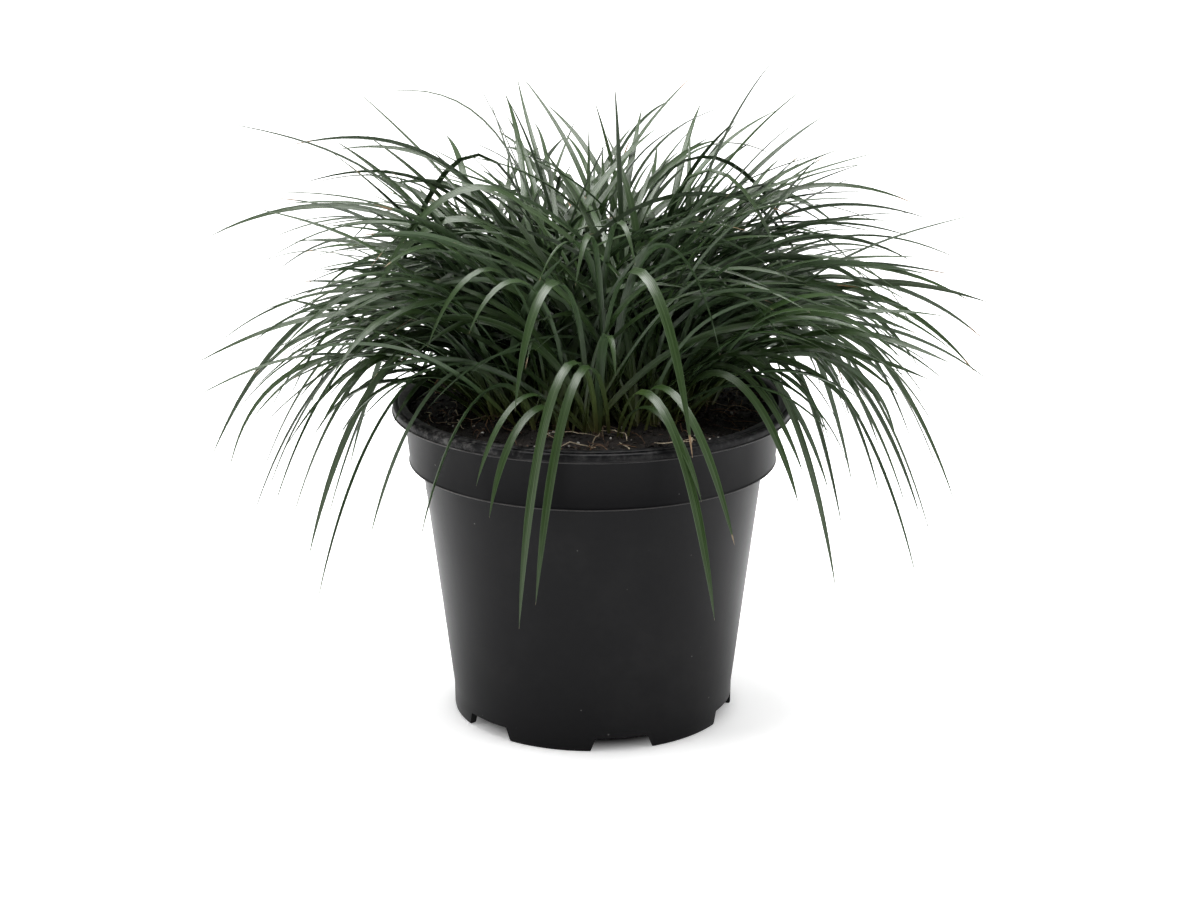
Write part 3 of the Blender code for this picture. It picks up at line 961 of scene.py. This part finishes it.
def placed_corners(row, lift, sway):
    """Control points of a listed leaf; lift is the height of the middle two."""
    root = np.array([row.x * MM, row.y * MM, LEAF_ROOT])
    tip = np.array([row.tip_x, row.tip_y, row.tip_z]) * MM
    across = (tip - root) * (1, 1, 0)
    aside = np.array([-across[1], across[0], 0]) * sway
    arching = row.crest > row.tip_z
    first = root + 0.10 * across - aside
    second = root + 0.66 * across + aside
    first[2] = lift if arching else lift - 0.5 * (lift - LEAF_ROOT)
    second[2] = lift if arching else lift - 0.12 * (lift - LEAF_ROOT)
    return root, first, second, tip


def placed_line(row, sway):
    """Centreline of a listed leaf, lifted until it reaches its crest, its rings spaced by length."""
    span = np.linspace(0, 1, 81)
    wanted_crest = max(row.crest, row.tip_z) * MM + 0.1 * MM
    low, high = LEAF_ROOT, 0.4
    for _ in range(24):
        lift = (low + high) / 2
        crest = bezier(placed_corners(row, lift, sway), span)[:, 2].max()
        low, high = (low, lift) if crest > wanted_crest else (lift, high)
    if row.crest <= row.tip_z:
        lift = row.tip_z * MM
    points = bezier(placed_corners(row, lift, sway), span)
    travelled = np.concatenate([[0], np.cumsum(np.linalg.norm(np.diff(points, axis=0), axis=1))])
    wanted = ring_share() * travelled[-1]
    return np.column_stack([np.interp(wanted, travelled, points[:, axis]) for axis in range(3)])


def placed_lines(rows, rng):
    """Centreline and side of the listed leaves."""
    lines = [placed_line(row, rng.normal(0, 0.05)) for row in rows]
    ways = [np.array([row.y - row.tip_y, row.tip_x - row.x, 0.0]) for row in rows]
    sides = [np.tile(way / np.linalg.norm(way), (RINGS, 1)) for way in ways]
    return np.array(lines).reshape(-1, RINGS, 3), np.array(sides).reshape(-1, RINGS, 3)


def turned_sides(line, side, leaf):
    """Side and upper normal of each leaf at every ring, after its roll and twist."""
    direction = np.gradient(line, axis=1)
    direction /= np.linalg.norm(direction, axis=2, keepdims=True)
    upper = np.cross(direction, side)
    upper /= np.linalg.norm(upper, axis=2, keepdims=True)
    side = np.cross(upper, direction)
    roll = (leaf["roll"][:, None] + leaf["twist"][:, None] * ring_share()[None, :])[:, :, None]
    return np.cos(roll) * side + np.sin(roll) * upper, np.cos(roll) * upper - np.sin(roll) * side


def leaf_width(share):
    """Narrow at the sheath, widest near the middle, long tapering tip."""
    grow = 0.5 + 0.5 * np.sin(np.minimum(share / 0.34, 1) * pi / 2)
    fall = np.clip((share - 0.62) / 0.38, 0, 1)
    return grow * np.maximum(np.cos(fall * pi / 2) ** 0.85, 0.02)


def shape_leaves(leaf, line, side, ring, corner):
    """Vertex places of all leaves, from the template's rings and corners."""
    side, upper = turned_sides(line, side, leaf)
    share = ring_share()
    width = leaf["width"][:, None] * leaf_width(share)[None, :]
    fold = (0.16 + 0.24 * np.exp(-share / 0.08))[None, :] * leaf["fold"][:, None]
    thickness = 0.10 * width + 0.00004
    across = np.choose(corner, [-0.5, 0.0, 0.5, 0.0])
    height = np.where((corner == LEFT) | (corner == RIGHT), 1.0, 0.0)
    keel = np.where(corner == KEEL, 1.0, 0.0)
    reach_out = (width[:, ring] * across)[:, :, None]
    reach_up = (width[:, ring] * fold[:, ring] * height - thickness[:, ring] * keel)[:, :, None]
    return line[:, ring, :] + side[:, ring, :] * reach_out + upper[:, ring, :] * reach_up


def clears_pot(line):
    """Whether each leaf stays out of the pot, the soil and the floor, and leaves the front open."""
    radius = np.hypot(line[:, :, 0], line[:, :, 1])
    height = line[:, :, 2]
    over_rim = (radius > 52 * MM) & (radius < LIP_RADIUS + 2.5 * MM)
    hits_rim = over_rim & (height < POT_HEIGHT + 2 * MM) & (height > 0)
    inside = radius < 62 * MM
    beyond_root = np.arange(line.shape[1])[None, :] > 3
    hits_soil = inside & beyond_root & (height < SOIL_TOP + 1.5 * MM)
    hits_wall = (height < POT_HEIGHT) & (radius < LIP_RADIUS + 1.5 * MM) & beyond_root
    x, y = line[:, :, 0], line[:, :, 1]
    before_rim = (y < -43 * MM) & ((height < 131 * MM) | (np.abs(x) < 50 * MM))
    low = height.min(axis=1) < 32 * MM
    far = np.abs(line[:, :, :2]).max(axis=(1, 2)) > 130 * MM
    tall = height.max(axis=1) > 218 * MM
    return ~((hits_rim | hits_soil | hits_wall | before_rim).any(axis=1) | low | far | tall)


def crown_place(node):
    """Centre of a tuft's crown, from the part of its solid that is set into the soil."""
    points = get_points(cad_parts[node].data)
    radius = np.hypot(points[:, 0], points[:, 1])
    sunk = points[(points[:, 2] < SOIL_TOP - 3 * MM) & (radius < 45 * MM)]
    return sunk[:, :2].mean(axis=0)


def draw_leaves(rng, centre, count, settings):
    """Random leaves of one tuft: each shoot is a flat fan with leaves on two sides, leaning outwards."""
    distance = float(np.hypot(*centre))
    outward = np.array(centre) / max(distance, 1 * MM)
    lean = min(1.0, distance / (31 * MM))
    shoots = settings.shoots
    around = tau * (np.arange(shoots) + rng.random(shoots)) / shoots
    spread = 7 * MM * np.sqrt(rng.random(shoots))
    place = centre + np.column_stack([spread * np.cos(around), spread * np.sin(around)])
    plane = rng.random(shoots) * pi
    tip_out = np.tan(settings.splay * lean * rng.uniform(0.4, 1.6, shoots))
    order = rng.permutation(count)
    shoot = order % shoots
    side = 1 - 2 * (order // shoots % 2)
    age = rng.random(count)
    reach = side * np.tan(settings.fan * age)
    across = np.column_stack([np.cos(plane), np.sin(plane)])[shoot]
    tilt = tip_out[shoot, None] * outward + reach[:, None] * across + rng.normal(0, 0.05, (count, 2))
    heading = np.arctan2(tilt[:, 1], tilt[:, 0])
    rise = np.arctan2(1.0, np.hypot(tilt[:, 0], tilt[:, 1]))
    length = settings.length * (1 + settings.length_spread * rng.normal(0, 1, count)) * (0.9 + 0.2 * age)
    length *= (1 + settings.rim_length * lean) * (0.52 + 0.58 * np.sin(rise))
    grown = rng.random(count) < settings.long_share
    length = np.where(grown, settings.length * rng.uniform(1.15, 1.5, count), length)
    bend = settings.bend + settings.bend_spread * rng.normal(0, 1, count)
    bend += settings.weight * (length - settings.length) / settings.length
    foot = place[shoot] + across * (side * 1.2 * MM * (0.3 + age))[:, None]
    return {
        "root": np.column_stack([foot, np.full(count, LEAF_ROOT)]),
        "heading": heading,
        "rise": rise,
        "length": np.clip(length, 70 * MM, 215 * MM),
        "bend": np.clip(bend, radians(20), rise + radians(75)),
        "onset": rng.uniform(1.0, 1.6, count),
        "waves": rng.uniform(0.7, 1.6, count),
        "phase": rng.random(count),
        "drift": rng.normal(0, 0.14, count),
        "roll": rng.normal(0, 0.45, count),
        "twist": rng.normal(0, 0.5, count),
        "width": settings.width * rng.uniform(0.75, 1.25, count),
        "fold": rng.uniform(0.5, 1.5, count),
        "tone": rng.random(count),
        "dry": rng.random(count) ** 12,
    }


def pick_clear_leaves(rng, centre, settings):
    """Draw leaves until enough of them clear the pot."""
    kept = None
    while kept is None or len(kept["rise"]) < settings.leaves:
        drawn = draw_leaves(rng, centre, settings.leaves, settings)
        clear = clears_pot(grown_lines(drawn)[0])
        drawn = {name: values[clear] for name, values in drawn.items()}
        kept = drawn if kept is None else {n: np.concatenate([kept[n], drawn[n]]) for n in kept}
    return {name: values[:settings.leaves] for name, values in kept.items()}


def hanging_rows(rng, count):
    """Long leaves that hang over the rim all round except at the front."""
    rows = []
    while len(rows) < count:
        azimuth = radians(rng.uniform(-38, 218))
        start = azimuth + rng.normal(0, 0.25)
        near, far = rng.uniform(27, 36), 84 + 44 * rng.random() ** 0.6
        tip_z = rng.uniform(42, 118)
        crest = max(tip_z + 5, 119 + 0.45 * (far - 84) + rng.normal(0, 6))
        row = Leaf(
            near * cos(start), near * sin(start), far * cos(azimuth), far * sin(azimuth),
            tip_z, crest, rng.uniform(1.8, 2.4))
        if clears_pot(placed_line(row, 0.0)[None])[0]:
            rows.append(row)
    return tuple(rows)


def nearest_rows(centre, centres, rows):
    """The single leaves whose nearest crown is this one."""
    def crown(row):
        return min(centres, key=lambda place: np.hypot(place[0] - row.x * MM, place[1] - row.y * MM))
    return [row for row in rows if crown(row) is centre]


def placed_leaves(rng, rows):
    """Everything but the course of the listed leaves."""
    count = len(rows)
    reach = np.array([(row.tip_x - row.x, row.tip_y - row.y) for row in rows]).reshape(-1, 2)
    sideways = np.abs(reach[:, 0]) / np.hypot(reach[:, 0], reach[:, 1])
    turn = sideways * rng.choice((-1, 1), count) * rng.uniform(0.3, 0.9, count)
    return {
        "roll": turn + rng.normal(0, 0.12, count),
        "twist": rng.normal(0, 0.3, count),
        "width": np.array([row.width * MM for row in rows]),
        "fold": rng.uniform(0.6, 1.2, count),
        "tone": rng.uniform(0.3, 1.0, count),
        "dry": rng.random(count) ** 7,
    }


def bake_map(across, under, along, count):
    """Lay every leaf's two sides as straight strips beside each other, filling the unit square."""
    columns = 2 * count
    number = np.repeat(np.arange(count), len(across))
    across, under, along = (np.tile(values, count) for values in (across, under, along))
    u = (2 * number + under + 0.08 + 0.84 * across) / columns
    return np.column_stack([u, 0.01 + 0.98 * along])


def build_leaves(name, leaf, line, side):
    """Model one leaf, copy it and bend each copy along its own line."""
    count = len(line)
    obj = tube_template(name, RINGS)
    ring, corner = template_layout(obj.data)
    across, under, along = template_map(obj.data, ring, corner)
    array_of(obj, count)
    places = shape_leaves(leaf, line, side, ring, corner)
    set_points(obj.data, places.reshape(-1, 3))
    set_uv(obj.data, "blade", np.column_stack([np.tile(across + under, count), np.tile(along, count)]))
    set_uv(obj.data, "OFBake", bake_map(across, under, along, count))
    for attribute in ("tone", "dry"):
        set_attribute(obj.data, attribute, np.repeat(leaf[attribute], len(ring)))
    return obj


class GRASS_OT_leaves(bpy.types.Operator):
    """Grow the leaves of every tuft"""
    bl_idname = "object.grass_leaves"
    bl_label = "Grow Leaves"

    def execute(self, context):
        settings = context.scene.grass_leaf
        material = leaf_material(settings)
        centres = [crown_place(node) for node in TUFTS]
        single = PLACED + hanging_rows(np.random.default_rng(29), settings.hanging)
        for number, node in enumerate(TUFTS):
            rng = np.random.default_rng(700 + number)
            grown = pick_clear_leaves(rng, centres[number], settings)
            rows = nearest_rows(centres[number], centres, single)
            placed = placed_leaves(rng, rows)
            courses = zip(grown_lines(grown), placed_lines(rows, rng))
            line, side = (np.concatenate(pair) for pair in courses)
            leaf = {key: np.concatenate([grown[key], placed[key]]) for key in placed}
            obj = build_leaves(node.replace("tuft", "leaves"), leaf, line, side)
            obj.data.materials.append(material)
            finish_piece(obj, node, smooth=60)
        return {"FINISHED"}


# ---------------------------------------------------------------- stage

def aim(obj, target):
    obj.rotation_euler = (Vector(target) - obj.location).to_track_quat("-Z", "Y").to_euler()


def add_light(name, place, size, power, target):
    deselect_all()
    bpy.ops.object.light_add(type="AREA", location=place)
    light = take_active(name)
    light.data.shape = "RECTANGLE"
    light.data.size, light.data.size_y = size
    light.data.energy = power
    aim(light, target)
    return light


def studio_world():
    """White all round, dimmer on the side where the camera stands."""
    world = bpy.data.worlds.new("studio")
    world.use_nodes = True
    tree = world.node_tree
    coordinates = add_node(tree, "ShaderNodeTexCoord")
    split = add_node(tree, "ShaderNodeSeparateXYZ")
    tree.links.new(coordinates.outputs["Generated"], split.inputs[0])
    front = ramp(tree, calc(tree, "MULTIPLY", split.outputs[1], -1.0), 0.2, 0.9)
    level = calc(tree, "MULTIPLY_ADD", front, -0.45, 0.55)
    background = tree.nodes["Background"]
    background.inputs["Color"].default_value = (1.0, 1.0, 1.0, 1)
    put(tree, background.inputs["Strength"], level)
    return world


class GRASS_OT_stage(bpy.types.Operator):
    """Set the floor, the studio lights and the camera"""
    bl_idname = "object.grass_stage"
    bl_label = "Set Stage"

    def execute(self, context):
        settings = context.scene.grass_stage
        scene = context.scene
        target = Vector((2.4 * MM, 0, 87.1 * MM))
        deselect_all()
        bpy.ops.mesh.primitive_plane_add(size=12.0, location=(0, 0, 0))
        floor = take_active("studio_floor")
        material, tree, shader = new_material("studio_floor")
        shader.inputs["Base Color"].default_value = (0.93, 0.93, 0.93, 1)
        shader.inputs["Roughness"].default_value = 0.6
        shader.inputs["Emission Color"].default_value = (1, 1, 1, 1)
        distance = add_node(tree, "ShaderNodeVectorMath", operation="LENGTH")
        tree.links.new(object_place(tree), distance.inputs[0])
        far = ramp(tree, distance.outputs["Value"], 0.25, 1.6)
        clear = ramp(tree, distance.outputs["Value"], 0.036, 0.052)
        glow = calc(tree, "MULTIPLY", clear, calc(tree, "MULTIPLY_ADD", far, 0.65, 0.52))
        put(tree, shader.inputs["Emission Strength"], glow)
        floor.data.materials.append(material)
        middle = (0, 0, 0.12)
        add_light("top_softbox", (-0.05, 0.1, 1.1), (0.8, 0.7), 24.0, middle)
        add_light("left_softbox", (-1.3, -0.3, 0.6), (0.9, 1.1), 5.0, middle)
        add_light("right_fill", (1.3, -0.3, 0.5), (0.8, 1.0), 4.5, middle)
        world = studio_world()
        scene.world = world
        tilt = settings.elevation
        bpy.ops.object.camera_add(
            location=target + settings.distance * Vector((0, -cos(tilt), sin(tilt))))
        camera = take_active("studio_camera")
        camera.data.lens = settings.lens
        camera.data.sensor_width = 36.0
        camera.data.clip_start = 0.01
        aim(camera, target)
        scene.camera = camera
        scene.view_settings.view_transform = "Standard"
        return {"FINISHED"}


# ---------------------------------------------------------------- panel and run

class GRASS_PT_panel(bpy.types.Panel):
    """Steps that build the potted grass"""
    bl_label = "Potted Grass"
    bl_idname = "GRASS_PT_panel"
    bl_space_type = "VIEW_3D"
    bl_region_type = "UI"
    bl_category = "Potted Grass"

    def draw(self, context):
        for group in GROUPS:
            settings = getattr(context.scene, group)
            for key in GROUPS[group].__annotations__:
                self.layout.prop(settings, key)
        for step in STEPS:
            self.layout.operator(step.bl_idname)


GROUPS = {
    "grass_pot": PotSettings,
    "grass_soil": SoilSettings,
    "grass_leaf": LeafSettings,
    "grass_stage": StageSettings,
}
STEPS = (GRASS_OT_stage, GRASS_OT_pot, GRASS_OT_soil, GRASS_OT_crumbs, GRASS_OT_threads, GRASS_OT_leaves)


def register():
    for name, group in GROUPS.items():
        bpy.utils.register_class(group)
        setattr(bpy.types.Scene, name, bpy.props.PointerProperty(type=group))
    for step in STEPS:
        bpy.utils.register_class(step)
    bpy.utils.register_class(GRASS_PT_panel)


def unregister():
    bpy.utils.unregister_class(GRASS_PT_panel)
    for step in reversed(STEPS):
        bpy.utils.unregister_class(step)
    for name, group in GROUPS.items():
        delattr(bpy.types.Scene, name)
        bpy.utils.unregister_class(group)


def main():
    register()
    bpy.ops.object.grass_stage()
    bpy.ops.object.grass_pot()
    bpy.ops.object.grass_soil()
    bpy.ops.object.grass_crumbs()
    bpy.ops.object.grass_threads()
    bpy.ops.object.grass_leaves()


if __name__ == "__main__":
    main()
